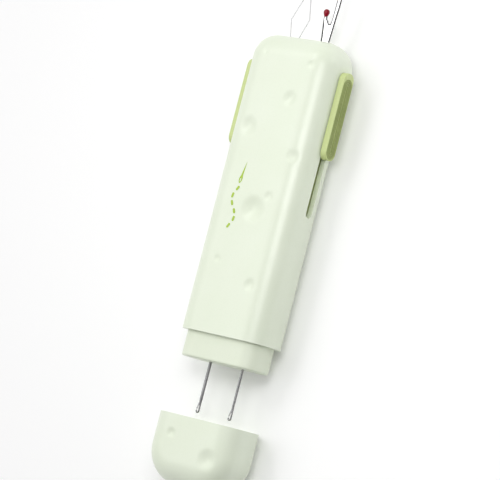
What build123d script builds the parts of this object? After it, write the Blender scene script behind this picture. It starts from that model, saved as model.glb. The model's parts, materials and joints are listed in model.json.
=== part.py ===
from build123d import *
import math
import os

# Needle threader with a seam ripper and two latch hooks, in millimetres.
# It lies on its flat back: X is the width, +Y runs to the end with the threader and the ripper,
# and +Z is the thickness, up to the front face. The origin is the middle of the sleeve's back face.

# Driving dimensions
WIDTH = 26.0
THICKNESS = 14.0
SLEEVE_LENGTH = 76.8
WALL = 1.3
EDGE_RADIUS = 5.8          # rounding of the long edges
DOME_CORNER = 6.2          # rounding of the domed end, seen from the front
CAP_LENGTH = 17.0
CAP_CORNER = 9.0           # rounding of the cap's closed end, seen from the front
CAP_PULLED_OFF = 21.1      # distance from the sleeve's rim to the cap's rim
NECK_INSET = 1.5
NECK_LENGTH = 6.6
NECK_ROUND = 0.5
FIT = 0.05                 # gap round a piece that is held in another
TRAVEL = 19.0              # stroke of each thumb slider

HALF_WIDTH = WIDTH / 2
MID_Z = THICKNESS / 2
SLEEVE_TOP = SLEEVE_LENGTH / 2
SLEEVE_RIM = -SLEEVE_TOP
CAVITY_HALF_WIDTH = HALF_WIDTH - WALL
CAVITY_TOP = SLEEVE_TOP - WALL
INNER_EDGE = EDGE_RADIUS - WALL

# Neck plug, storage bores and latch hooks
PLUG_TOP = -29.5
RETAINER_THICKNESS = 1.0
NECK_END = SLEEVE_RIM - NECK_LENGTH
HOOK_X = {"large_hook": -4.2, "small_hook": 5.6}
HOOK_WIRE = {"large_hook": 0.76, "small_hook": 0.62}
HOOK_TIP = -58.0
COLLAR_BOTTOM = -39.5
COLLAR_LENGTH = 2.0
COLLAR_RADIUS = 1.0
COLLAR_CHAMFER = 0.2
BORE_RADIUS = 1.1
GUIDE_CLEARANCE = 0.06
SPRING_WIRE = 0.2
SPRING_TURNS = 5

# Latch hook: the crook's wire, how far its parts lie from the tip, and the latch in its slot
CROOK_WIRE = 0.4
CROOK_RADIUS = 0.36
CROOK_SHIFT = 0.16         # sideways, so that the crook is centred under the shank
BARB_HEIGHT = 0.85
BARB_POINT = 0.06
NECKING_LENGTH = 3.6
TAPER_LENGTH = 1.6
PIVOT_HEIGHT = 3.5
PIVOT_SHIFT = -0.02
RIVET_RADIUS = 0.09
RIVET_CLEARANCE = 0.03
LATCH_THICKNESS = 0.2
LATCH_SLOT = 0.32
LATCH_SLOT_REACH = 2.1     # length of the slot on each side of the rivet
LATCH_SLOT_DEPTH = 0.16    # how far past the wire's axis the slot is cut
LATCH_WIDTH = 0.3
LATCH_TAPER = 0.8
LATCH_GAP = 0.12           # between the shut latch and the barb

# Centre frame
WEB_HALF = 0.6
FRAME_BOTTOM = PLUG_TOP + RETAINER_THICKNESS
FRAME_TOP = 33.0
FLANGE_HALF_WIDTH = 8.0
FLANGE_THICKNESS = 1.2
FRAME_LOW = 1.6
NOTCH_RADIUS = 0.8
NOTCH_DEPTH = 0.35
NOTCH_HEIGHT = 3.0

# Thumb sliders
SLOT_WIDTH = 2.6
SLOT_LOW = -5.4
SLOT_HIGH = 27.3
BUTTON_LOW = 9.5
BUTTON_HIGH = 31.7
BUTTON_DEPTH = 4.3
BUTTON_PROUD = 1.75
BUTTON_GAP = 0.12
BUTTON_CORNER = 2.0
BUTTON_EDGE = 0.15
STEM_LOW = 14.6
STEM_HIGH = 26.6
STEM_DEPTH = 2.0
GRIP_LOW = BUTTON_LOW + 0.3
GRIP_HIGH = BUTTON_HIGH - 1.5
GRIP_DEPTH = BUTTON_DEPTH - 0.3
GRIP_RECESS = 0.9
GRIP_SUNK = 0.15           # how far the grip's face lies below the button's rim
RIB_PITCH = 0.55
RIB_WIDTH = 0.26
RIB_HEIGHT = 0.12
RIB_COUNT = 3
PLATE_OUTER = CAVITY_HALF_WIDTH - 0.3
PLATE_THICKNESS = 1.5
CARRIAGE_LOW = -6.0
CARRIAGE_HIGH = 31.0
BLOCK_LOW = 24.0
BLOCK_INNER = 1.6
BLOCK_OUTER = 7.6
TAIL_INNER = 4.0
TAIL_LENGTH = 4.0
PLATE_DEPTH = 4.0
BLOCK_CLEARANCE = 0.25
LEAF_THICKNESS = 0.2
LEAF_DEPTH = 1.8
LEAF_BEND = 0.6
DETENT_Y = 14.0

# Threader loop, with its outline seen from the front
LOOP_WIRE = 0.28
LOOP_BEND = 0.35
LOOP_ENDS_GAP = 0.08
LOOP_ROOT = (-4.5, 34.5)
LOOP_LEFT = (-6.6, 43.2)
LOOP_TIP = (-3.1, 52.1)
LOOP_RIGHT = (-1.2, 43.6)
FERRULE = (1.5, 7.0, 1.2)
FERRULE_ROUND = 0.35
FERRULE_LOW = 28.2
WIRE_END = FERRULE_LOW + 2.2

# Seam ripper
RIPPER_X = 4.7
RIPPER_THICKNESS = 0.7
RIPPER_SHANK = 2.0
BALL_RADIUS = 0.76
BALL_CENTRE = (3.2, 46.1)
BALL_REACH = 1.45          # from the ball's centre to the point of the drop
BALL_LEAN = 3              # degrees
PIN_RADIUS = 0.4
RIPPER_PIN_Y = (27.0, 29.6)

# Slots in the domed end for the two tools: low x, high x, half depth
TOOL_SLOTS = [(-6.95, -0.85, 0.5), (2.1, 7.0, 1.0)]

# Round hollows in the moulding: x, y, radius
FRONT_HOLLOWS = [
    (1.2, -6.3, 3.2), (4.9, -2.6, 1.25), (-6.4, 13.8, 2.5), (3.7, 22.3, 1.9), (7.2, 31.4, 1.0),
    (-6.8, 33.0, 0.8), (8.5, 8.3, 1.6), (-5.3, -20.0, 0.9), (5.9, -24.8, 1.6),
]
BACK_HOLLOWS = [(-4.0, 24.0, 2.4), (3.5, 17.0, 1.3), (4.8, -17.5, 2.8), (-4.6, -27.0, 1.5)]
CAP_HOLLOWS = [(6.6, -68.6, 2.6), (-5.6, -64.2, 1.2)]
HOLLOW_SLOPE = 0.17        # depth of a hollow for each millimetre of its radius
HOLLOW_LEAST = 0.08

# Printed sewing motif
INK = 0.06
MOTIF_X = -4.6
MOTIF_LOW = -12.2
STITCHES = 6
STITCH_PITCH = 1.9
STITCH_LENGTH = 1.35
STITCH_WIDTH = 0.6
STITCH_WAVE = 1.0
STITCHES_PER_WAVE = 5
STITCH_LEAN = 28           # degrees
NEEDLE_LENGTH = 5.6
NEEDLE_WIDTH = 0.9
NEEDLE_LEAN = -8           # degrees
HEAD_LENGTH = 2.0
EYE_Y = 0.95
EYE_LENGTH = 0.9
EYE_WIDTH = 0.3


def block(x0, x1, y0, y1, z0, z1):
    """A box between two corners."""
    centre = Pos((x0 + x1) / 2, (y0 + y1) / 2, (z0 + z1) / 2)
    return centre * Box(abs(x1 - x0), abs(y1 - y0), abs(z1 - z0))


def rod(x, y, z, radius, length, axis):
    """A cylinder centred on a point, along one axis."""
    turn = {"x": Rot(0, 90, 0), "y": Rot(90, 0, 0), "z": Rot(0, 0, 0)}[axis]
    return Pos(x, y, z) * turn * Cylinder(radius, length)


def rounded_case(inset, y_open, y_closed, corner):
    """A flat-fronted case with one open end and one rounded end, inset from the outer surface."""
    half = HALF_WIDTH - inset
    plan = Pos(0, (y_open + y_closed) / 2) * Rectangle(2 * half, abs(y_closed - y_open))
    far_end = -1 if y_closed > y_open else 0
    plan = fillet(plan.vertices().group_by(Axis.Y)[far_end], corner)
    solid = extrude(Plane.XY.offset(inset) * plan, THICKNESS - 2 * inset)
    outlines = [e for e in solid.edges() if abs(e.center().Z - MID_Z) > MID_Z - inset - 0.01]
    rounded = [e for e in outlines if abs(e.center().Y - y_open) > 0.01]
    return fillet(rounded, EDGE_RADIUS - inset)


def section_bar(inset, y0, y1):
    """A bar with the case's rounded section, inset from the outer surface."""
    plan = RectangleRounded(WIDTH - 2 * inset, THICKNESS - 2 * inset, EDGE_RADIUS - inset)
    return extrude(Pos(0, y1, MID_Z) * Rot(90, 0, 0) * plan, y1 - y0)


def hollow(x, y, radius, face):
    """The ball that presses a shallow round hollow into the front or the back."""
    depth = HOLLOW_LEAST + HOLLOW_SLOPE * radius
    ball = (radius ** 2 + depth ** 2) / (2 * depth)
    past_edge = max(0.0, abs(x) - (HALF_WIDTH - EDGE_RADIUS))
    drop = EDGE_RADIUS - math.sqrt(EDGE_RADIUS ** 2 - past_edge ** 2)
    z = THICKNESS - drop - depth + ball if face == "front" else depth - ball
    return Pos(x, y, z) * Sphere(ball)


def outer_sleeve():
    """The one-piece outer moulding: domed end, two side slots and two tool slots."""
    shell = rounded_case(0, SLEEVE_RIM, SLEEVE_TOP, DOME_CORNER)
    shell -= rounded_case(WALL, SLEEVE_RIM - 1, CAVITY_TOP, DOME_CORNER - WALL)
    for side in (-1, 1):
        slot_plan = SlotOverall(SLOT_HIGH - SLOT_LOW, SLOT_WIDTH, rotation=90)
        slot = extrude(slot_plan, 2 * WALL, both=True)
        shell -= Pos(side * HALF_WIDTH, (SLOT_LOW + SLOT_HIGH) / 2, MID_Z) * Rot(0, 90, 0) * slot
    for x0, x1, half_depth in TOOL_SLOTS:
        shell -= block(x0, x1, CAVITY_TOP - 1, SLEEVE_TOP + 1, MID_Z - half_depth, MID_Z + half_depth)
    for x, y, radius in FRONT_HOLLOWS:
        shell -= hollow(x, y, radius, "front")
    for x, y, radius in BACK_HOLLOWS:
        shell -= hollow(x, y, radius, "back")
    return shell


def neck_plug():
    """The neck that the cap fits over, with a stepped bore for each hook."""
    neck = section_bar(NECK_INSET, NECK_END, SLEEVE_RIM)
    neck = fillet(neck.edges().group_by(Axis.Y)[0], NECK_ROUND)
    plug = neck + section_bar(WALL + FIT, SLEEVE_RIM, PLUG_TOP)
    for name, x in HOOK_X.items():
        guide = HOOK_WIRE[name] / 2 + GUIDE_CLEARANCE
        plug -= rod(x, (NECK_END + PLUG_TOP) / 2, MID_Z, guide, PLUG_TOP - NECK_END + 2, "y")
        wide_length = PLUG_TOP - COLLAR_BOTTOM + 1
        plug -= rod(x, COLLAR_BOTTOM + wide_length / 2, MID_Z, BORE_RADIUS, wide_length, "y")
    return plug


def spring_retainer():
    """The plate over the top of the plug that closes the spring bores."""
    return section_bar(WALL + FIT, PLUG_TOP, PLUG_TOP + RETAINER_THICKNESS)


def centre_frame():
    """The H-section frame that parts the two carriages and guides them."""
    high = THICKNESS - FRAME_LOW
    frame = block(-WEB_HALF, WEB_HALF, FRAME_BOTTOM, FRAME_TOP, FRAME_LOW, high)
    for z0, z1 in ((FRAME_LOW, FRAME_LOW + FLANGE_THICKNESS), (high - FLANGE_THICKNESS, high)):
        frame += block(-FLANGE_HALF_WIDTH, FLANGE_HALF_WIDTH, FRAME_BOTTOM, FRAME_TOP, z0, z1)
    for side in (-1, 1):
        for y in (DETENT_Y, DETENT_Y - TRAVEL):
            x = side * (WEB_HALF - NOTCH_DEPTH + NOTCH_RADIUS)
            frame -= rod(x, y, MID_Z, NOTCH_RADIUS, NOTCH_HEIGHT, "z")
    return frame


def side_slab(side, inner, outer, inset):
    """A round-ended slab with the grip's outline, standing out from one side of the tool."""
    plan = SlotOverall(GRIP_HIGH - GRIP_LOW - 2 * inset, GRIP_DEPTH - 2 * inset, rotation=90)
    middle = Pos(side * (inner + outer) / 2, (GRIP_LOW + GRIP_HIGH) / 2, MID_Z)
    return middle * Rot(0, 90, 0) * extrude(plan, (outer - inner) / 2, both=True)


def thumb_button(side):
    """A thumb button outside the slot, with its stem and the recess for the grip."""
    inner = HALF_WIDTH + BUTTON_GAP
    outer = HALF_WIDTH + BUTTON_PROUD
    low_z, high_z = MID_Z - BUTTON_DEPTH / 2, MID_Z + BUTTON_DEPTH / 2
    body = block(side * inner, side * outer, BUTTON_LOW, BUTTON_HIGH, low_z, high_z)
    corners = [e for e in body.edges() if abs(abs(e.center().X) - (inner + outer) / 2) < 0.01]
    body = fillet(corners, BUTTON_CORNER)
    rim = [e for e in body.edges() if abs(abs(e.center().X) - outer) < 0.01]
    body = fillet(rim, BUTTON_EDGE)
    body -= side_slab(side, outer - GRIP_RECESS, outer + 1, 0)
    stem = block(side * (PLATE_OUTER - PLATE_THICKNESS), side * inner, STEM_LOW, STEM_HIGH,
                 MID_Z - STEM_DEPTH / 2, MID_Z + STEM_DEPTH / 2)
    return body + stem


def grip_pad(side):
    """The grip set into the button, with ridges that follow its outline one inside the other."""
    face = HALF_WIDTH + BUTTON_PROUD - GRIP_SUNK
    pad = side_slab(side, HALF_WIDTH + BUTTON_PROUD - GRIP_RECESS, face, FIT)
    for i in range(RIB_COUNT):
        inset = FIT + RIB_WIDTH + i * RIB_PITCH
        ridge = side_slab(side, face, face + RIB_HEIGHT, inset)
        pad += ridge - side_slab(side, face - 1, face + 1, inset + RIB_WIDTH)
    return pad


def carriage(side):
    """A slider that joins a thumb button to its tool: side plate, front block and tail block."""
    low = FRAME_LOW + FLANGE_THICKNESS + BLOCK_CLEARANCE
    high = THICKNESS - low
    plate_inner = PLATE_OUTER - PLATE_THICKNESS
    plate_low, plate_high = MID_Z - PLATE_DEPTH / 2, MID_Z + PLATE_DEPTH / 2
    body = block(side * plate_inner, side * PLATE_OUTER, CARRIAGE_LOW, CARRIAGE_HIGH, plate_low, plate_high)
    for inner, y0, y1 in ((BLOCK_INNER, BLOCK_LOW, CARRIAGE_HIGH),
                          (TAIL_INNER, CARRIAGE_LOW, CARRIAGE_LOW + TAIL_LENGTH)):
        body += block(side * inner, side * BLOCK_OUTER, y0, y1, low, high)
        body += block(side * BLOCK_OUTER, side * plate_inner, y0, y1, plate_low, plate_high)
    body -= block(side * (plate_inner - 1), side * (PLATE_OUTER + 1), STEM_LOW - FIT, STEM_HIGH + FIT,
                  MID_Z - STEM_DEPTH / 2 - FIT, MID_Z + STEM_DEPTH / 2 + FIT)
    return body


def threader_carriage():
    """The left carriage, with the seat and the pin hole for the threader's ferrule."""
    width, length, depth = FERRULE
    x = LOOP_ROOT[0]
    seat = block(x - width / 2 - FIT, x + width / 2 + FIT, FERRULE_LOW, CARRIAGE_HIGH + 1,
                 MID_Z - depth / 2 - FIT, MID_Z + depth / 2 + FIT)
    return carriage(-1) - seat - rod(x, FERRULE_LOW + 1, MID_Z, PIN_RADIUS, THICKNESS, "z")


def ripper_carriage():
    """The right carriage, with the seat and the pin holes for the ripper's shank."""
    seat = block(RIPPER_X - RIPPER_SHANK / 2 - FIT, RIPPER_X + RIPPER_SHANK / 2 + FIT, BLOCK_LOW + 1,
                 CARRIAGE_HIGH + 1, MID_Z - RIPPER_THICKNESS / 2 - FIT, MID_Z + RIPPER_THICKNESS / 2 + FIT)
    body = carriage(1) - seat
    for y in RIPPER_PIN_Y:
        body -= rod(RIPPER_X, y, MID_Z, PIN_RADIUS, THICKNESS, "z")
    return body


def detent_spring(side):
    """A bent leaf behind the front block, whose bump drops into a notch of the centre frame."""
    bump_x = WEB_HALF - NOTCH_DEPTH + 0.1
    line = FilletPolyline(
        (side * 3.4, BLOCK_LOW), (side * 3.4, BLOCK_LOW - 3), (side * 1.9, DETENT_Y + 1.6),
        (side * (bump_x - 0.15), DETENT_Y), (side * 2.3, DETENT_Y - 2.4), radius=LEAF_BEND)
    leaf = trace(line, LEAF_THICKNESS)
    return extrude(Plane.XY.offset(MID_Z - LEAF_DEPTH / 2) * leaf, LEAF_DEPTH)


def threader_ferrule():
    """The crimped tube that holds the two ends of the threader's wire."""
    width, length, depth = FERRULE
    x = LOOP_ROOT[0]
    body = block(x - width / 2, x + width / 2, FERRULE_LOW, FERRULE_LOW + length,
                 MID_Z - depth / 2, MID_Z + depth / 2)
    body = fillet(body.edges().filter_by(Axis.Y), FERRULE_ROUND)
    body -= rod(x, FERRULE_LOW + 1, MID_Z, PIN_RADIUS, THICKNESS, "z")
    half_mouth = LOOP_WIRE + LOOP_ENDS_GAP / 2 + FIT
    mouth = block(x - half_mouth, x + half_mouth, WIRE_END - FIT, FERRULE_LOW + length + 1,
                  MID_Z - LOOP_WIRE / 2 - FIT, MID_Z + LOOP_WIRE / 2 + FIT)
    return body - mouth


def threader_wire():
    """The springy diamond loop, one wire bent round with both ends in the ferrule."""
    x, y = LOOP_ROOT
    apart = (LOOP_WIRE + LOOP_ENDS_GAP) / 2
    corners = [(x - apart, WIRE_END), (x - apart, y + 0.4), LOOP_LEFT, LOOP_TIP, LOOP_RIGHT,
               (x + apart, y + 0.4), (x + apart, WIRE_END)]
    route = FilletPolyline(*[(px, py, MID_Z) for px, py in corners], radius=LOOP_BEND)
    section = Plane(origin=(x - apart, WIRE_END, MID_Z), z_dir=(0, 1, 0)) * Circle(LOOP_WIRE / 2)
    return sweep(section, path=route)


def ripper_blade():
    """The stamped steel fork: shank, short prong for the ball, curved edge and long point."""
    half = RIPPER_SHANK / 2
    root = BLOCK_LOW + 1 + FIT
    outline = Polyline((RIPPER_X - half, 39.0), (RIPPER_X - half, root), (RIPPER_X + half, root),
                       (RIPPER_X + half, 39.0))
    right_flank = Spline((RIPPER_X + half, 39.0), (5.85, 41.4), (6.35, 45.2),
                         tangents=[(0, 1), (0.1, 1)])
    long_point = Polyline((6.35, 45.2), (6.45, 50.0), (6.22, 54.9), (6.02, 54.9), (5.62, 50.0), (5.5, 45.0))
    crotch = Spline((5.5, 45.0), (4.92, 43.2), (4.1, 44.15), tangents=[(-0.3, -1), (-0.45, 1)])
    short_hook = Spline((4.1, 44.15), (3.8, 43.95), (3.62, 45.1), tangents=[(-1, 0.1), (0.05, 1)])
    prong_end = Line((3.62, 45.1), (2.94, 45.1))
    left_flank = Spline((2.94, 45.1), (3.35, 41.9), (RIPPER_X - half, 39.0), tangents=[(0, -1), (0, -1)])
    plan = make_face([outline, right_flank, long_point, crotch, short_hook, prong_end, left_flank])
    blade = extrude(Plane.XY.offset(MID_Z - RIPPER_THICKNESS / 2) * plan, RIPPER_THICKNESS)
    for y in RIPPER_PIN_Y:
        blade -= rod(RIPPER_X, y, MID_Z, PIN_RADIUS, THICKNESS, "z")
    return blade - Pos(*BALL_CENTRE, MID_Z) * Sphere(BALL_RADIUS)


def ripper_ball():
    """The red drop-shaped bead that guards the short prong."""
    x, y = BALL_CENTRE
    touch = BALL_RADIUS ** 2 / BALL_REACH
    width = BALL_RADIUS * math.sqrt(1 - (BALL_RADIUS / BALL_REACH) ** 2)
    half_section = make_face([Line((0, -BALL_REACH), (width, -touch)),
                              ThreePointArc((width, -touch), (BALL_RADIUS, 0), (0, BALL_RADIUS)),
                              Line((0, BALL_RADIUS), (0, -BALL_REACH))])
    drop = revolve(half_section, Axis.Y)
    placed = Pos(x, y, MID_Z) * Rot(0, 0, BALL_LEAN) * drop
    return placed - ripper_blade()


def pins(places):
    """Cross pins through the front block, as one group."""
    low = FRAME_LOW + FLANGE_THICKNESS + BLOCK_CLEARANCE
    return [rod(x, y, MID_Z, PIN_RADIUS, THICKNESS - 2 * low, "z") for x, y in places]


def cap_shell():
    """The pull-off cap over the hooks."""
    rim = SLEEVE_RIM - CAP_PULLED_OFF
    end = rim - CAP_LENGTH
    shell = rounded_case(0, rim, end, CAP_CORNER)
    shell -= rounded_case(WALL, rim + 1, end + WALL, CAP_CORNER - WALL)
    for x, y, radius in CAP_HOLLOWS:
        shell -= hollow(x, y, radius, "front")
    return shell


def latch_hook(name):
    """A hook's wire: collar end, straight shank, necked end with its slot, and the crook."""
    x = HOOK_X[name]
    radius = HOOK_WIRE[name] / 2
    shank_low = HOOK_TIP + NECKING_LENGTH
    shank = rod(x, (COLLAR_BOTTOM + shank_low) / 2, MID_Z, radius, COLLAR_BOTTOM - shank_low, "y")
    crook_x = x + CROOK_SHIFT
    centre_y = HOOK_TIP + CROOK_RADIUS + CROOK_WIRE / 2
    from_base = (Align.CENTER, Align.CENTER, Align.MIN)
    taper = Pos(x, shank_low, MID_Z) * Rot(90, 0, 0) * Cone(
        radius, CROOK_WIRE / 2, TAPER_LENGTH, align=from_base)
    bend_path = (Line((crook_x, shank_low, MID_Z), (crook_x, centre_y, MID_Z))
                 + ThreePointArc((crook_x, centre_y, MID_Z),
                                 (crook_x - CROOK_RADIUS, centre_y - CROOK_RADIUS, MID_Z),
                                 (crook_x - 2 * CROOK_RADIUS, centre_y, MID_Z)))
    start = Plane(origin=(crook_x, shank_low, MID_Z), z_dir=(0, -1, 0))
    crook = sweep(start * Circle(CROOK_WIRE / 2), path=bend_path)
    barb_length = HOOK_TIP + BARB_HEIGHT - centre_y
    barb = Pos(crook_x - 2 * CROOK_RADIUS, centre_y, MID_Z) * Rot(-90, 0, 0) * Cone(
        CROOK_WIRE / 2, BARB_POINT, barb_length, align=from_base)
    hook = shank + taper + crook + barb
    pivot = HOOK_TIP + PIVOT_HEIGHT
    hook -= block(x - 1, x + LATCH_SLOT_DEPTH, pivot - LATCH_SLOT_REACH, pivot + LATCH_SLOT_REACH,
                  MID_Z - LATCH_SLOT / 2, MID_Z + LATCH_SLOT / 2)
    return hook - rod(x + PIVOT_SHIFT, pivot, MID_Z, RIVET_RADIUS, THICKNESS, "z")


def hook_collar(name):
    """The crimped collar that the spring pushes on and that stops the hook in its bore."""
    collar = rod(HOOK_X[name], COLLAR_BOTTOM + COLLAR_LENGTH / 2, MID_Z, COLLAR_RADIUS, COLLAR_LENGTH, "y")
    return chamfer(collar.edges(), COLLAR_CHAMFER)


def hook_rivet(name):
    """The rivet that the latch turns on."""
    x = HOOK_X[name] + PIVOT_SHIFT
    return rod(x, HOOK_TIP + PIVOT_HEIGHT, MID_Z, RIVET_RADIUS, HOOK_WIRE[name], "z")


def hook_latch(name):
    """The small swinging latch, shut against the barb."""
    x = HOOK_X[name] + PIVOT_SHIFT
    pivot = HOOK_TIP + PIVOT_HEIGHT
    half = LATCH_WIDTH / 2
    barb_x = HOOK_X[name] + CROOK_SHIFT - 2 * CROOK_RADIUS
    root = Pos(x, pivot) * Circle(half)
    tip = Pos(barb_x, HOOK_TIP + BARB_HEIGHT + LATCH_GAP + half) * Circle(half * LATCH_TAPER)
    plan = make_hull(root.edges() + tip.edges())
    latch = extrude(Plane.XY.offset(MID_Z - LATCH_THICKNESS / 2) * plan, LATCH_THICKNESS)
    return latch - rod(x, pivot, MID_Z, RIVET_RADIUS + RIVET_CLEARANCE, THICKNESS, "z")


def hook_spring(name):
    """The coil spring above the collar that holds the hook out."""
    low = COLLAR_BOTTOM + COLLAR_LENGTH
    height = PLUG_TOP - low - SPRING_WIRE - 2 * FIT
    coil = Helix(height / SPRING_TURNS, height, COLLAR_RADIUS - SPRING_WIRE)
    section = Plane(origin=coil @ 0, z_dir=coil % 0) * Circle(SPRING_WIRE / 2)
    top = Pos(HOOK_X[name], PLUG_TOP - SPRING_WIRE / 2 - FIT, MID_Z)
    return top * Rot(90, 0, 0) * sweep(section, path=coil)


def printed_motif():
    """A needle drawing a wavy row of running stitches, as a thin layer of ink."""
    marks = []
    for i in range(STITCHES):
        y = MOTIF_LOW + STITCH_LENGTH / 2 + i * STITCH_PITCH
        phase = 2 * math.pi * i / STITCHES_PER_WAVE
        x = MOTIF_X + STITCH_WAVE * math.sin(phase)
        lean = -STITCH_LEAN * math.cos(phase)
        marks.append(Pos(x, y) * Rot(0, 0, lean) * SlotOverall(STITCH_LENGTH, STITCH_WIDTH, rotation=90))
    needle_low = MOTIF_LOW + STITCHES * STITCH_PITCH
    half = NEEDLE_WIDTH / 2
    needle = make_face([
        ThreePointArc((0, 0), (-half, EYE_Y), (-0.6 * half, HEAD_LENGTH)),
        Line((-0.6 * half, HEAD_LENGTH), (0, NEEDLE_LENGTH)),
        Line((0, NEEDLE_LENGTH), (0.6 * half, HEAD_LENGTH)),
        ThreePointArc((0.6 * half, HEAD_LENGTH), (half, EYE_Y), (0, 0))])
    needle -= Pos(0, EYE_Y) * SlotOverall(EYE_LENGTH, EYE_WIDTH, rotation=90)
    marks.append(Pos(MOTIF_X, needle_low) * Rot(0, 0, NEEDLE_LEAN) * needle)
    return [extrude(Plane.XY.offset(THICKNESS) * mark, INK) for mark in marks]


nodes = {
    "outer_sleeve": outer_sleeve(),
    "neck_plug": neck_plug(),
    "spring_retainer": spring_retainer(),
    "centre_frame": centre_frame(),
    "printed_motif": printed_motif(),
    "threader_button": thumb_button(-1),
    "threader_grip_pad": grip_pad(-1),
    "threader_carriage": threader_carriage(),
    "threader_detent_spring": detent_spring(-1),
    "threader_ferrule": threader_ferrule(),
    "threader_pin": pins([(LOOP_ROOT[0], FERRULE_LOW + 1)]),
    "threader_wire": threader_wire(),
    "ripper_button": thumb_button(1),
    "ripper_grip_pad": grip_pad(1),
    "ripper_carriage": ripper_carriage(),
    "ripper_detent_spring": detent_spring(1),
    "ripper_pins": pins([(RIPPER_X, y) for y in RIPPER_PIN_Y]),
    "ripper_blade": ripper_blade(),
    "ripper_ball": ripper_ball(),
    "cap_shell": cap_shell(),
}
for name in HOOK_X:
    nodes[name + "_shank"] = latch_hook(name)
    nodes[name + "_collar"] = hook_collar(name)
    nodes[name + "_rivet"] = hook_rivet(name)
    nodes[name + "_latch"] = hook_latch(name)
    nodes[name + "_spring"] = hook_spring(name)

os.makedirs("parts", exist_ok=True)
for name, shape in nodes.items():
    solids = [s for item in (shape if isinstance(shape, list) else [shape]) for s in item.solids()]
    group = solids[0] if len(solids) == 1 else Compound(children=solids)
    export_step(group, f"parts/{name}.step")
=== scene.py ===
import json
import math

import bmesh
import bpy
from mathutils import Matrix, Vector
from mathutils.geometry import interpolate_bezier, intersect_line_line_2d, tessellate_polygon


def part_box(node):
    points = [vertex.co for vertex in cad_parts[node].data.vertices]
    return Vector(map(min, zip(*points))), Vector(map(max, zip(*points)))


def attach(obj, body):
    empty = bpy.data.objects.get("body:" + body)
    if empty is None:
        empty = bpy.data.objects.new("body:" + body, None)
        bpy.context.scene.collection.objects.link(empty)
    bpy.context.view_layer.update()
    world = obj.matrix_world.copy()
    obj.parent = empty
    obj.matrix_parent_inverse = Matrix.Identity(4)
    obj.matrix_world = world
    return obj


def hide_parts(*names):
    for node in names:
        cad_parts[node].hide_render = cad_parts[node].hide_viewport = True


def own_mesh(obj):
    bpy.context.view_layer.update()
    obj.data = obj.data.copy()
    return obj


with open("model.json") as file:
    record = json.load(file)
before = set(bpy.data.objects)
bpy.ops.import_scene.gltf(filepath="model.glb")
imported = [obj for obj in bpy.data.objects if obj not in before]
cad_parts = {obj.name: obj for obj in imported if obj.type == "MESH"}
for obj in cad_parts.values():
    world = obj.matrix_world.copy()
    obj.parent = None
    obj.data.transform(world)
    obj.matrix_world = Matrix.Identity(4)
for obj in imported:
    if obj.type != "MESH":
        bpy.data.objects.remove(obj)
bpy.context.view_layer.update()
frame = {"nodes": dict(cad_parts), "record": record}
MM = 0.001

# Camera, in degrees and millimetres: turned to the tool's right side, a little towards the cap,
# and rolled so that the tool leans.
YAW, PITCH, ROLL = 34.4, 4.7, 14.52
DISTANCE = 660.2
SHIFT_RIGHT, SHIFT_UP = 4.95, 12.55
LENS = 191.9
SENSOR = 36
CLIP_START, CLIP_END = 0.01, 20

# Studio: the strength of the surroundings on their bright and their dim side
BRIGHT, DIM = 0.71, 0.12
DIM_SIDE = (0.78, -0.62, 0.0)

# Area lights, in metres and watts: name, place, size, power
LIGHTS = [
    ("overhead", (-0.45, 0.066, 0.658), (0.5, 0.5), 0.89),
    ("key", (-0.27, 0.40, 0.64), (0.24, 0.24), 0.7),
    ("edge", (0.095, 0.03, 0.225), (0.12, 0.07), 0.17),
    ("end", (0.11, 0.10, 0.03), (0.05, 0.05), 0.012),
]

# The white table that the tool lies on, which glows a little, as a light table does
FLOOR_SIZE = 6
FLOOR_GAP = 0.0001
FLOOR_WHITE = 0.96
FLOOR_ROUGHNESS = 0.9
FLOOR_GLOW = 0.06

# The case's own sizes in millimetres; its width, height and length are read from the frame
WALL = 1.3
EDGE_RADIUS = 5.8
DOME_CORNER = 6.2
CAP_CORNER = 9.0
SLOT_WIDTH = 2.6
SLOT_LOW, SLOT_HIGH = -5.4, 27.3
SLOT_STEPS = 12            # in each of a slot's round ends
CUT_PAST = 1               # how far a cutter stands out of the surface it cuts
TOOL_SLOTS = [(-6.95, -0.85, 0.5), (2.1, 7.0, 1.0)]    # from x, to x, half the height

# Round hollows in the case: x, y and radius
FRONT_HOLLOWS = [
    (1.2, -6.3, 3.2), (4.9, -2.6, 1.25), (-6.4, 13.8, 2.5), (3.7, 22.3, 1.9), (7.2, 31.4, 1.0),
    (-6.8, 33.0, 0.8), (8.5, 8.3, 1.6), (-5.3, -20.0, 0.9), (5.9, -24.8, 1.6),
]
BACK_HOLLOWS = [(-4.0, 24.0, 2.4), (3.5, 17.0, 1.3), (4.8, -17.5, 2.8), (-4.6, -27.0, 1.5)]
CAP_HOLLOWS = [(6.6, -68.6, 2.6), (-5.6, -64.2, 1.2)]
HOLLOW_SPREAD = 1.2        # a hollow's soft edge, as a multiple of its radius
HOLLOW_DEPTH = 0.215       # depth for each millimetre of radius
HOLLOW_LEAST = 0.07

# Faces of a case: across half the flat, round a bend and up the side of its section,
# then along its length, round a corner and over its closed end
SECTION_STEPS = (20, 14, 4)
INNER_STEPS = (24, 8, 16)
SLEEVE_STEPS = (150, 12, 36)
CAP_STEPS = (36, 20, 24)
WELD = 1e-7

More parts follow.
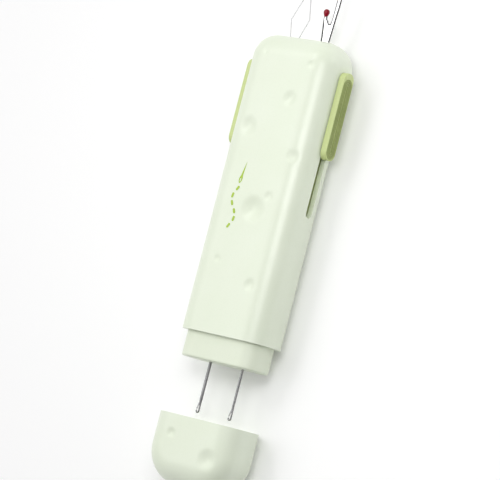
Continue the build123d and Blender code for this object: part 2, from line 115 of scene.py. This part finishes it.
# The seam ripper's blade in millimetres
SHANK_LEFT, SHANK_RIGHT = 3.7, 5.7
SHANK_STEPS = 4
SHOULDER_LEFT, SHOULDER_RIGHT = 38.0, 34.0
LONG_OUTSIDE, LONG_INSIDE = (6.35, 45.2), (5.5, 45.0)
TIP_LEFT, TIP_RIGHT = 6.02, 6.22
CROTCH = (4.92, 43.2)
HOOK_CORNER = (4.1, 44.15)  # the small hook beside the blade's cutting edge
SHORT_RIGHT, SHORT_LEFT = (3.62, 45.1), (2.94, 45.1)
COINED_MARGIN = 0.48       # the sloping border pressed round the blade's faces
COINED_MEAN = 0.58         # the border is narrower on the edges that face away from the threader
COINED_SHARE = 0.3         # the border's most, as a share of the blade's width
COINED_CORNER = 0.05       # the border's most right at the small hook
COINED_DROP = 0.1          # how much lower the border's outer edge is than the face
BLADE_HALF = 0.30          # half the blade's thickness
BLADE_CREASE = 10          # edges sharper than this, in degrees, stay sharp
CASE_CREASE = 32
FAR = 100                  # longer than the blade is wide

# The bead on the short prong: half its width and its height at stations from its neck to its top
BEAD_PROFILE = [(0.3, -1.15), (0.42, -0.85), (0.62, -0.45), (0.76, -0.05), (0.8, 0.2), (0.75, 0.5),
                (0.58, 0.76), (0.32, 0.92)]
BEAD_TOP = 0.97
BEAD_SIDES = 24

# The coil springs above the hooks
SPRING_WIRE = 0.2
SPRING_TURNS = 5
SPRING_STEPS = 28          # stations in each turn
SPRING_SIDES = 8


# ---------------------------------------------------------------- materials

class Shader:
    """A small helper that adds nodes to one material."""

    def __init__(self, name):
        self.material = bpy.data.materials.new(name)
        self.material.use_nodes = True
        self.tree = self.material.node_tree
        self.surface = self.tree.nodes["Principled BSDF"]
        self.place = self.tree.nodes.new("ShaderNodeTexCoord").outputs["Object"]

    def set(self, **values):
        for key, value in values.items():
            self.surface.inputs[key.replace("_", " ")].default_value = value

    def noise(self, scale, detail=3.0, stretch=(1, 1, 1)):
        mapping = self.tree.nodes.new("ShaderNodeMapping")
        mapping.inputs["Scale"].default_value = stretch
        self.tree.links.new(self.place, mapping.inputs["Vector"])
        noise = self.tree.nodes.new("ShaderNodeTexNoise")
        noise.inputs["Scale"].default_value = scale
        noise.inputs["Detail"].default_value = detail
        self.tree.links.new(mapping.outputs[0], noise.inputs["Vector"])
        return noise.outputs["Fac"]

    def ramp(self, factor, low, high, start=0.3, end=0.7):
        ramp = self.tree.nodes.new("ShaderNodeValToRGB")
        first, last = ramp.color_ramp.elements
        first.position = start
        last.position = end
        first.color = low
        last.color = high
        self.tree.links.new(factor, ramp.inputs[0])
        return ramp.outputs["Color"]

    def mix(self, factor, first, second, blend="MIX"):
        mix = self.tree.nodes.new("ShaderNodeMix")
        mix.data_type = "RGBA"
        mix.blend_type = blend
        for socket, value in ((mix.inputs[0], factor), (mix.inputs[6], first), (mix.inputs[7], second)):
            if isinstance(value, (float, int, tuple)):
                socket.default_value = value
            else:
                self.tree.links.new(value, socket)
        return mix.outputs[2]

    def link(self, socket, name):
        self.tree.links.new(socket, self.surface.inputs[name])

    def roughness(self, factor, low, high):
        span = self.tree.nodes.new("ShaderNodeMapRange")
        span.inputs["To Min"].default_value = low
        span.inputs["To Max"].default_value = high
        self.tree.links.new(factor, span.inputs["Value"])
        self.link(span.outputs[0], "Roughness")

    def bump(self, height, strength, distance):
        bump = self.tree.nodes.new("ShaderNodeBump")
        bump.inputs["Strength"].default_value = strength
        bump.inputs["Distance"].default_value = distance
        self.tree.links.new(height, bump.inputs["Height"])
        self.link(bump.outputs[0], "Normal")

    def wear(self, colour, worn, start=0.52, end=0.6, amount=0.5):
        """Lightens convex edges, as handling does."""
        edges = self.tree.nodes.new("ShaderNodeNewGeometry").outputs["Pointiness"]
        mask = self.ramp(edges, rgb(0, 0, 0), rgb(amount, amount, amount), start, end)
        return self.mix(mask, colour, worn)


def rgb(red, green, blue):
    return (red, green, blue, 1.0)


def plastic(name, colour, deeper, rough, grain, worn=None, **extra):
    """Moulded plastic: slight colour drift, fine moulded skin and uneven gloss."""
    s = Shader(name)
    drift = s.noise(90, 4.0)
    body = s.ramp(drift, deeper, colour, 0.25, 0.7)
    speck = s.ramp(s.noise(2600, 2.0), rgb(0.985, 0.985, 0.985), rgb(1, 1, 1), 0.3, 0.5)
    body = s.mix(1.0, body, speck, "MULTIPLY")
    if worn:
        body = s.wear(body, worn)
    s.link(body, "Base Color")
    s.roughness(s.noise(420, 3.0), *rough)
    s.bump(s.noise(1500, 2.0), grain, 0.0001)
    s.set(**extra)
    return s.material


def steel(name, colour, deeper, rough, stretch, grain=0.05):
    """Bare metal with lines along the way it was drawn, ground or rolled."""
    s = Shader(name)
    lines = s.noise(900, 4.0, stretch)
    s.link(s.ramp(lines, deeper, colour), "Base Color")
    s.set(Metallic=1.0)
    s.roughness(s.noise(450, 3.0, stretch), *rough)
    s.bump(lines, grain, 0.00005)
    return s.material


def grip_rubber():
    """Soft olive rubber, mottled and finely grained, and paler where fingers rub its ribs."""
    s = Shader("grip_rubber")
    body = s.ramp(s.noise(300, 5.0), rgb(0.27, 0.33, 0.10), rgb(0.335, 0.395, 0.13), 0.3, 0.7)
    body = s.wear(body, rgb(0.46, 0.53, 0.24), 0.5, 0.6, 0.6)
    s.link(body, "Base Color")
    s.roughness(s.noise(700, 3.0), 0.45, 0.62)
    s.bump(s.noise(5200, 3.0), 0.25, 0.00004)
    return s.material


def blade_steel():
    """Mirror-polished faces, and a painted dark reflection on the sloping border round them."""
    s = Shader("blade_steel")
    lines = s.noise(900, 4.0, (6, 0.4, 6))
    faces = s.ramp(lines, rgb(0.84, 0.84, 0.845), rgb(0.93, 0.93, 0.93))
    # Painted reflection: the sloping border is coloured near-black to stand for the dark surroundings it
    # reflects
    painted_dark_reflection = s.ramp(s.noise(1800, 3.0, (1, 1, 8)), rgb(0.035, 0.035, 0.04), rgb(0.08, 0.08, 0.08))
    normal = s.tree.nodes.new("ShaderNodeSeparateXYZ")
    s.tree.links.new(s.place.node.outputs["Normal"], normal.inputs[0])
    upward = s.tree.nodes.new("ShaderNodeMath")
    upward.operation = "ABSOLUTE"
    s.tree.links.new(normal.outputs["Z"], upward.inputs[0])
    # Mask of the sloping border, where the painted dark reflection goes; the flat faces stay bright
    facing = s.ramp(upward.outputs[0], rgb(0, 0, 0), rgb(1, 1, 1), 0.984, 0.996)
    s.link(s.mix(facing, painted_dark_reflection, faces), "Base Color")
    s.set(Metallic=1.0)
    s.roughness(facing, 0.42, 0.12)
    s.bump(lines, 0.03, 0.00005)
    return s.material


def make_materials():
    """One material for each slot of the record, and a darker steel for the hooks."""
    lengthways, across = (6, 0.4, 6), (0.5, 6, 6)
    return {
        "mint_case": plastic(
            "mint_case", rgb(0.785, 0.845, 0.70), rgb(0.76, 0.825, 0.665), (0.29, 0.37), 0.012,
            rgb(0.83, 0.88, 0.76), Specular_IOR_Level=0.75),
        "neck_plastic": plastic(
            "neck_plastic", rgb(0.775, 0.83, 0.685), rgb(0.75, 0.81, 0.65), (0.3, 0.4), 0.03,
            rgb(0.82, 0.87, 0.74)),
        "frame_plastic": plastic(
            "frame_plastic", rgb(0.70, 0.74, 0.62), rgb(0.64, 0.69, 0.56), (0.45, 0.6), 0.08),
        "green_plastic": plastic(
            "green_plastic", rgb(0.56, 0.65, 0.28), rgb(0.52, 0.61, 0.24), (0.3, 0.42), 0.04,
            rgb(0.64, 0.72, 0.36)),
        "olive_grip": grip_rubber(),
        "print_ink": plastic(
            "print_ink", rgb(0.43, 0.60, 0.06), rgb(0.38, 0.55, 0.05), (0.4, 0.55), 0.05),
        "polished_steel": blade_steel(),
        "wire_steel": steel(
            "wire_steel", rgb(0.64, 0.64, 0.64), rgb(0.54, 0.54, 0.55), (0.3, 0.45), lengthways, 0.04),
        "hook_steel": steel(
            "hook_steel", rgb(0.40, 0.40, 0.40), rgb(0.22, 0.22, 0.225), (0.2, 0.36), lengthways, 0.1),
        "spring_steel": steel(
            "spring_steel", rgb(0.55, 0.55, 0.58), rgb(0.38, 0.38, 0.42), (0.25, 0.4), across),
        "brass_crimp": steel(
            "brass_crimp", rgb(0.78, 0.60, 0.30), rgb(0.66, 0.48, 0.20), (0.22, 0.36), across),
        "red_bead": plastic(
            "red_bead", rgb(0.31, 0.002, 0.018), rgb(0.25, 0.001, 0.012), (0.06, 0.12), 0.01,
            Specular_IOR_Level=0.4),
    }


def dress_cad_nodes(materials):
    """Gives every CAD node the material of its slot; the hooks' wire is darker than the threader's."""
    for row in frame["record"]["subparts"]:
        node = frame["nodes"][row["node"]]
        dark = "_hook_" in row["node"] and row["material_slot"] == "wire_steel"
        node.data.materials.clear()
        node.data.materials.append(materials["hook_steel" if dark else row["material_slot"]])


# ---------------------------------------------------------------- mesh helpers

def new_object(name, mesh):
    """An object in the scene with the finished mesh, its faces turned outwards."""
    bmesh.ops.recalc_face_normals(mesh, faces=mesh.faces)
    data = bpy.data.meshes.new(name)
    mesh.to_mesh(data)
    mesh.free()
    made = bpy.data.objects.new(name, data)
    bpy.context.scene.collection.objects.link(made)
    return made


def join_rings(mesh, rings):
    """Joins each ring of vertices to the next by quads."""
    count = len(rings[0])
    for lower, upper in zip(rings, rings[1:]):
        for i in range(count):
            j = (i + 1) % count
            mesh.faces.new((lower[i], lower[j], upper[j], upper[i]))


def close_ring(mesh, ring, middle):
    """Closes a ring with a fan of triangles round a middle point, in millimetres."""
    hub = mesh.verts.new(middle * MM)
    for i, vertex in enumerate(ring):
        mesh.faces.new((vertex, ring[(i + 1) % len(ring)], hub))


def smooth(piece, crease):
    """Smooth shading, with the edges sharper than the crease, in degrees, left sharp."""
    piece.data.shade_smooth()
    piece.data.set_sharp_from_angle(angle=math.radians(crease))


def prism(name, points, axis_low, axis_high, axis):
    """A cutter with a flat outline, along one axis."""
    order = {"x": lambda p, q, r: (r, p, q), "y": lambda p, q, r: (p, r, q)}[axis]
    mesh = bmesh.new()
    low = [mesh.verts.new(Vector(order(p, q, axis_low)) * MM) for p, q in points]
    high = [mesh.verts.new(Vector(order(p, q, axis_high)) * MM) for p, q in points]
    mesh.faces.new(low)
    mesh.faces.new(high[::-1])
    join_rings(mesh, [low, high])
    return new_object(name, mesh)


def round_ended(low, high, middle, half):
    """The outline of a slot with round ends."""
    points = []
    for centre, start in ((high - half, 0), (low + half, math.pi)):
        for i in range(SLOT_STEPS + 1):
            a = start + math.pi * i / SLOT_STEPS
            points.append((centre + half * math.sin(a), middle + half * math.cos(a)))
    return points


def cut(target, cutters):
    """Takes the cutters out of the target's mesh, and removes them."""
    for cutter in cutters:
        modifier = target.modifiers.new("cut", "BOOLEAN")
        modifier.operation = "DIFFERENCE"
        modifier.object = cutter
        modifier.solver = "EXACT"
    graph = bpy.context.evaluated_depsgraph_get()
    result = bpy.data.meshes.new_from_object(target.evaluated_get(graph))
    target.modifiers.clear()
    target.data = result
    for cutter in cutters:
        bpy.data.objects.remove(cutter)


# ---------------------------------------------------------------- the two case shells

def stations(inset, half_width, thickness):
    """The case's section from the middle of the back, round the side, to the middle of the front.

    Each station is (half width there, height, how much the normal leans outwards, and upwards)."""
    radius = EDGE_RADIUS - inset
    flat_half = half_width - EDGE_RADIUS
    low, high = inset, thickness - inset
    bottom, top = low + radius, high - radius
    flat, bend, side = SECTION_STEPS
    row = [(flat_half * i / flat, low, 0.0, -1.0) for i in range(flat)]
    for i in range(bend + 1):
        sine, cosine = math.sin(math.pi / 2 * i / bend), math.cos(math.pi / 2 * i / bend)
        row.append((flat_half + radius * sine, low + radius * (1 - cosine), sine, -cosine))
    row += [(flat_half + radius, bottom + (top - bottom) * i / side, 1.0, 0.0) for i in range(1, side)]
    for i in range(bend + 1):
        sine, cosine = math.cos(math.pi / 2 * i / bend), math.sin(math.pi / 2 * i / bend)
        row.append((flat_half + radius * sine, high - radius * (1 - cosine), sine, cosine))
    row += [(flat_half * (1 - i / flat), high, 0.0, 1.0) for i in range(1, flat + 1)]
    return row


def outline(half_width, full_half, rim, end, corner, steps):
    """A U-shaped line at one half width, from the rim, round the closed end, and back to the rim.

    Each point is (x, y, the outward direction in the plan)."""
    way = 1 if end > rim else -1
    inset = full_half - half_width
    bend = max(corner - inset, 0.0)
    top = end - way * inset
    side_top = top - way * bend
    span = half_width - bend
    along, turn, over = steps
    points = [(-half_width, rim + (side_top - rim) * i / along, -1.0, 0.0) for i in range(along)]
    for i in range(turn):
        sine, cosine = math.sin(math.pi / 2 * i / turn), math.cos(math.pi / 2 * i / turn)
        points.append((-half_width + bend * (1 - cosine), top - way * bend * (1 - sine), -cosine, way * sine))
    points += [(-span + 2 * span * i / over, top, 0.0, float(way)) for i in range(over)]
    for i in range(turn):
        sine, cosine = math.sin(math.pi / 2 * i / turn), math.cos(math.pi / 2 * i / turn)
        points.append((half_width - bend * (1 - sine), top - way * bend * (1 - cosine), sine, way * cosine))
    points += [(half_width, side_top + (rim - side_top) * i / along, 1.0, 0.0) for i in range(along + 1)]
    return points


def hollow_depth(x, y, hollows):
    """How deep the soft round hollows press the surface in at a point."""
    depth = 0.0
    for hx, hy, radius in hollows:
        reach = radius * HOLLOW_SPREAD
        far = math.hypot(x - hx, y - hy) / reach
        if far < 1:
            deepest = HOLLOW_LEAST + HOLLOW_DEPTH * radius
            depth = max(depth, deepest * (1 - far * far) ** 2)
    return depth


def case_skin(mesh, inset, half_width, thickness, rim, end, corner, steps, front, back):
    """Adds one skin of a case to the mesh: the outer skin has no inset, and has the hollows.

    The outer skin's faces are turned outwards and the inner's inwards, so that their rims can be bridged."""
    way = 1 if end > rim else -1
    skin_end = end - way * inset
    grid = []
    for width, height, lean_out, lean_up in stations(inset, half_width, thickness):
        hollows = front if height > thickness / 2 else back
        line = []
        for x, y, out_x, out_y in outline(width, half_width - inset, rim, skin_end, corner - inset, steps):
            depth = hollow_depth(x, y, hollows)
            normal = Vector((out_x * lean_out, out_y * lean_out, lean_up))
            line.append(mesh.verts.new((Vector((x, y, height)) - depth * normal) * MM))
        grid.append(line)
    turned = (way < 0) == (inset == 0)
    for lower, upper in zip(grid, grid[1:]):
        for i in range(len(lower) - 1):
            face = [lower[i], lower[i + 1], upper[i + 1], upper[i]]
            mesh.faces.new(face if turned else face[::-1])


def case_shell(name, node, rim, end, corner, front, back, steps):
    """A hollow case with one open end, its hollows, and its outer and inner skins joined at the rim."""
    low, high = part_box(node)
    half_width = (high.x - low.x) / 2 / MM
    thickness = (high.z - low.z) / MM
    mesh = bmesh.new()
    case_skin(mesh, 0, half_width, thickness, rim, end, corner, steps, front, back)
    case_skin(mesh, WALL, half_width, thickness, rim, end, corner, INNER_STEPS, (), ())
    bmesh.ops.remove_doubles(mesh, verts=mesh.verts, dist=WELD)
    rims = [edge for edge in mesh.edges if edge.is_boundary]
    bmesh.ops.bridge_loops(mesh, edges=rims)
    return new_object(name, mesh)


def make_sleeve(materials):
    """The domed sleeve, with a slot in each side and one for each tool in its dome."""
    low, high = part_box("outer_sleeve")
    rim, end = low.y / MM, high.y / MM
    middle = (low.z + high.z) / 2 / MM
    half_width = (high.x - low.x) / 2 / MM
    sleeve = case_shell("sleeve", "outer_sleeve", rim, end, DOME_CORNER, FRONT_HOLLOWS, BACK_HOLLOWS,
                        SLEEVE_STEPS)
    cutters = []
    for side in (-1, 1):
        slot = round_ended(SLOT_LOW, SLOT_HIGH, middle, SLOT_WIDTH / 2)
        inside, outside = side * (half_width - 2 * WALL), side * (half_width + CUT_PAST)
        cutters.append(prism("slot", slot, inside, outside, "x"))
    for from_x, to_x, half in TOOL_SLOTS:
        slot = round_ended(from_x, to_x, middle, half)
        cutters.append(prism("slot", slot, end - 2 * WALL, end + CUT_PAST, "y"))
    cut(sleeve, cutters)
    smooth(sleeve, CASE_CREASE)
    sleeve.data.materials.append(materials["mint_case"])
    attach(sleeve, "handle")
    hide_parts("outer_sleeve")


def make_cap(materials):
    """The cap, a short case that opens towards the sleeve."""
    low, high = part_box("cap_shell")
    cap = case_shell("cap", "cap_shell", high.y / MM, low.y / MM, CAP_CORNER, CAP_HOLLOWS, (), CAP_STEPS)
    smooth(cap, CASE_CREASE)
    cap.data.materials.append(materials["mint_case"])
    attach(cap, "cap")
    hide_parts("cap_shell")


# ---------------------------------------------------------------- the seam ripper and the hooks' springs

def curve(start, start_way, end, end_way, steps):
    """Points along a smooth curve, without its last one."""
    start, end = Vector(start), Vector(end)
    reach = math.dist(start, end) / 3
    handles = [start + Vector(start_way).normalized() * reach, end - Vector(end_way).normalized() * reach]
    return list(interpolate_bezier(start, *handles, end, steps + 1))[:-1]


def blade_outline():
    """The fork's outline, anticlockwise from the root of the shank, in millimetres."""
    low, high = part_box("ripper_blade")
    root, tip = low.y / MM, high.y / MM
    rise, fall = SHOULDER_RIGHT - root, SHOULDER_LEFT - root
    points = [Vector((SHANK_LEFT, root))]
    points += [Vector((SHANK_RIGHT, root + rise * i / SHANK_STEPS)) for i in range(SHANK_STEPS)]
    points += curve((SHANK_RIGHT, SHOULDER_RIGHT), (0.08, 1), LONG_OUTSIDE, (0.03, 1), 12)
    points += curve(LONG_OUTSIDE, (0.1, 1), (TIP_RIGHT, tip), (-0.15, 1), 14)
    points += [Vector((TIP_RIGHT, tip))]
    points += curve((TIP_LEFT, tip), (-0.2, -1), LONG_INSIDE, (-0.02, -1), 14)
    points += curve(LONG_INSIDE, (-0.05, -1), CROTCH, (-1, -0.15), 10)
    points += curve(CROTCH, (-1, 0.1), HOOK_CORNER, (-0.3, 1), 8)
    points += curve(HOOK_CORNER, (-0.6, -0.5), SHORT_RIGHT, (0, 1), 6)
    points += [Vector(SHORT_RIGHT)]
    points += curve(SHORT_LEFT, (0, -1), (SHANK_LEFT, SHOULDER_LEFT), (0, -1), 12)
    points += [Vector((SHANK_LEFT, SHOULDER_LEFT - fall * i / SHANK_STEPS)) for i in range(SHANK_STEPS)]
    return points


def width_across(points, i, inward):
    """How wide the outline is at one of its points, measured inwards."""
    here = points[i]
    widths = [FAR]
    for j in range(len(points)):
        if j in (i, i - 1) or (i == 0 and j == len(points) - 1):
            continue
        hit = intersect_line_line_2d(here, here + FAR * inward, points[j], points[(j + 1) % len(points)])
        if hit:
            widths.append((hit - here).length)
    return min(widths)


def inset_outline(points):
    """The outline moved inwards by the coined border, which is less where the blade is narrow."""
    sharp = Vector(HOOK_CORNER)
    moved = []
    for i, here in enumerate(points):
        before, after = points[i - 1], points[(i + 1) % len(points)]
        way = ((here - before).normalized() + (after - here).normalized()).normalized()
        inward = Vector((-way.y, way.x))
        slanted = COINED_MARGIN * (COINED_MEAN + (1 - COINED_MEAN) * inward.x)
        narrow = COINED_SHARE * width_across(points, i, inward)
        step = min(slanted, narrow, COINED_CORNER + (here - sharp).length / 2)
        moved.append(here + step * inward)
    return moved


def make_blade(materials):
    """The stamped fork, its polished faces framed by a coined margin."""
    low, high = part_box("ripper_blade")
    middle = (low.z + high.z) / 2 / MM
    bottom, top = middle - BLADE_HALF, middle + BLADE_HALF
    edge = blade_outline()
    face = inset_outline(edge)
    levels = [(face, bottom), (edge, bottom + COINED_DROP), (edge, top - COINED_DROP), (face, top)]
    mesh = bmesh.new()
    rings = [[mesh.verts.new(Vector((p.x, p.y, z)) * MM) for p in ring] for ring, z in levels]
    join_rings(mesh, rings)
    for a, b, c in tessellate_polygon([[p.to_3d() for p in face]]):
        for ring in (rings[0], rings[-1]):
            mesh.faces.new((ring[a], ring[b], ring[c]))
    blade = new_object("seam_ripper", mesh)
    smooth(blade, BLADE_CREASE)
    blade.data.materials.append(materials["polished_steel"])
    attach(blade, "ripper")
    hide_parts("ripper_blade")


def make_bead(materials):
    """The drop-shaped safety bead, narrow where it meets the short prong."""
    low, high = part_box("ripper_ball")
    centre = (low + high) / 2 / MM
    mesh = bmesh.new()
    rings = []
    for radius, height in BEAD_PROFILE:
        ring = []
        for i in range(BEAD_SIDES):
            a = math.tau * i / BEAD_SIDES
            place = centre + Vector((radius * math.cos(a), height, radius * math.sin(a)))
            ring.append(mesh.verts.new(place * MM))
        rings.append(ring)
    join_rings(mesh, rings)
    close_ring(mesh, rings[0], centre + Vector((0, BEAD_PROFILE[0][1], 0)))
    close_ring(mesh, rings[-1], centre + Vector((0, BEAD_TOP, 0)))
    bead = new_object("bead", mesh)
    bead.data.shade_smooth()
    bead.data.materials.append(materials["red_bead"])
    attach(bead, "ripper")
    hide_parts("ripper_ball")


def make_spring(materials, hook):
    """A hook's coil spring, wound once to fill the box of its CAD spring part, and riding with the handle."""
    node = hook + "_spring"
    low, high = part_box(node)
    centre = (low + high) / 2 / MM
    half_wire = SPRING_WIRE / 2
    bottom, top = low.y / MM + half_wire, high.y / MM - half_wire
    radius = (high.x - low.x) / 2 / MM - half_wire
    along = Vector((0, 1, 0))
    count = SPRING_TURNS * SPRING_STEPS
    mesh = bmesh.new()
    rings, middles = [], []
    for i in range(count + 1):
        a = math.tau * i / SPRING_STEPS
        outward = Vector((math.cos(a), 0, math.sin(a)))
        middle = Vector((centre.x, bottom + (top - bottom) * i / count, centre.z)) + radius * outward
        ring = []
        for k in range(SPRING_SIDES):
            b = math.tau * k / SPRING_SIDES
            place = middle + half_wire * (math.cos(b) * outward + math.sin(b) * along)
            ring.append(mesh.verts.new(place * MM))
        rings.append(ring)
        middles.append(middle)
    join_rings(mesh, rings)
    close_ring(mesh, rings[0], middles[0])
    close_ring(mesh, rings[-1], middles[-1])
    spring = new_object(hook + "_coil", mesh)
    spring.data.shade_smooth()
    spring.data.materials.append(materials["spring_steel"])
    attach(spring, "handle")
    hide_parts(node)
    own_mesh(spring)


# ---------------------------------------------------------------- camera, light and floor

def make_camera():
    """The camera, in front of the sleeve's middle, turned, tipped and rolled by the angles above."""
    cos_yaw, sin_yaw = math.cos(math.radians(YAW)), math.sin(math.radians(YAW))
    cos_pitch, sin_pitch = math.cos(math.radians(PITCH)), math.sin(math.radians(PITCH))
    cos_roll, sin_roll = math.cos(math.radians(ROLL)), math.sin(math.radians(ROLL))
    yaw = Matrix(((cos_yaw, 0, -sin_yaw), (0, 1, 0), (sin_yaw, 0, cos_yaw)))
    pitch = Matrix(((1, 0, 0), (0, cos_pitch, sin_pitch), (0, -sin_pitch, cos_pitch)))
    roll = Matrix(((cos_roll, sin_roll, 0), (-sin_roll, cos_roll, 0), (0, 0, 1)))
    facing = (roll @ pitch @ yaw).transposed()
    low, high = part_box("outer_sleeve")
    offset = Vector((SHIFT_RIGHT, SHIFT_UP, -DISTANCE)) * MM
    data = bpy.data.cameras.new("camera")
    data.lens = LENS
    data.sensor_width = SENSOR
    data.clip_start, data.clip_end = CLIP_START, CLIP_END
    camera = bpy.data.objects.new("camera", data)
    bpy.context.scene.collection.objects.link(camera)
    place = (low + high) / 2 - facing @ offset
    camera.matrix_world = Matrix.Translation(place) @ facing.to_4x4()
    bpy.context.scene.camera = camera


def area_light(name, place, size, watts):
    """A soft rectangular light at a place, aimed at the tool's middle, its second side along Y."""
    data = bpy.data.lights.new(name, "AREA")
    data.shape = "RECTANGLE"
    data.size, data.size_y = size
    data.energy = watts
    light = bpy.data.objects.new(name, data)
    bpy.context.scene.collection.objects.link(light)
    back = Vector(place).normalized()
    right = Vector((0, 1, 0)).cross(back).normalized()
    facing = Matrix((right, back.cross(right), back)).transposed()
    light.matrix_world = Matrix.Translation(place) @ facing.to_4x4()


def make_world():
    """Even white surroundings, dimmer on the tool's right and towards the cap."""
    world = bpy.data.worlds.new("studio")
    bpy.context.scene.world = world
    world.use_nodes = True
    tree = world.node_tree
    place = tree.nodes.new("ShaderNodeTexCoord")
    slope = tree.nodes.new("ShaderNodeVectorMath")
    slope.operation = "DOT_PRODUCT"
    slope.inputs[1].default_value = DIM_SIDE
    tree.links.new(place.outputs["Generated"], slope.inputs[0])
    fade = tree.nodes.new("ShaderNodeMapRange")
    fade.interpolation_type = "SMOOTHSTEP"
    fade.inputs["From Min"].default_value = 0.0
    fade.inputs["To Min"].default_value = BRIGHT
    fade.inputs["To Max"].default_value = DIM
    tree.links.new(slope.outputs["Value"], fade.inputs["Value"])
    tree.links.new(fade.outputs[0], tree.nodes["Background"].inputs["Strength"])
    tree.nodes["Background"].inputs["Color"].default_value = rgb(1, 1, 1)


def make_floor():
    bpy.ops.mesh.primitive_plane_add(size=FLOOR_SIZE, location=(0, 0, -FLOOR_GAP))
    floor = bpy.context.object
    floor.name = "floor"
    material = bpy.data.materials.new("floor")
    material.use_nodes = True
    shader = material.node_tree.nodes["Principled BSDF"]
    shader.inputs["Base Color"].default_value = rgb(FLOOR_WHITE, FLOOR_WHITE, FLOOR_WHITE)
    shader.inputs["Roughness"].default_value = FLOOR_ROUGHNESS
    shader.inputs["Emission Color"].default_value = rgb(1, 1, 1)
    shader.inputs["Emission Strength"].default_value = FLOOR_GLOW
    floor.data.materials.append(material)


def make_stage():
    """Plain tones, the surroundings, the floor and the lights."""
    bpy.context.scene.view_settings.view_transform = "Standard"
    make_world()
    make_floor()
    for name, place, size, watts in LIGHTS:
        area_light(name, place, size, watts)


materials = make_materials()
dress_cad_nodes(materials)
make_sleeve(materials)
make_cap(materials)
make_blade(materials)
make_bead(materials)
make_spring(materials, "large_hook")
make_spring(materials, "small_hook")
make_camera()
make_stage()
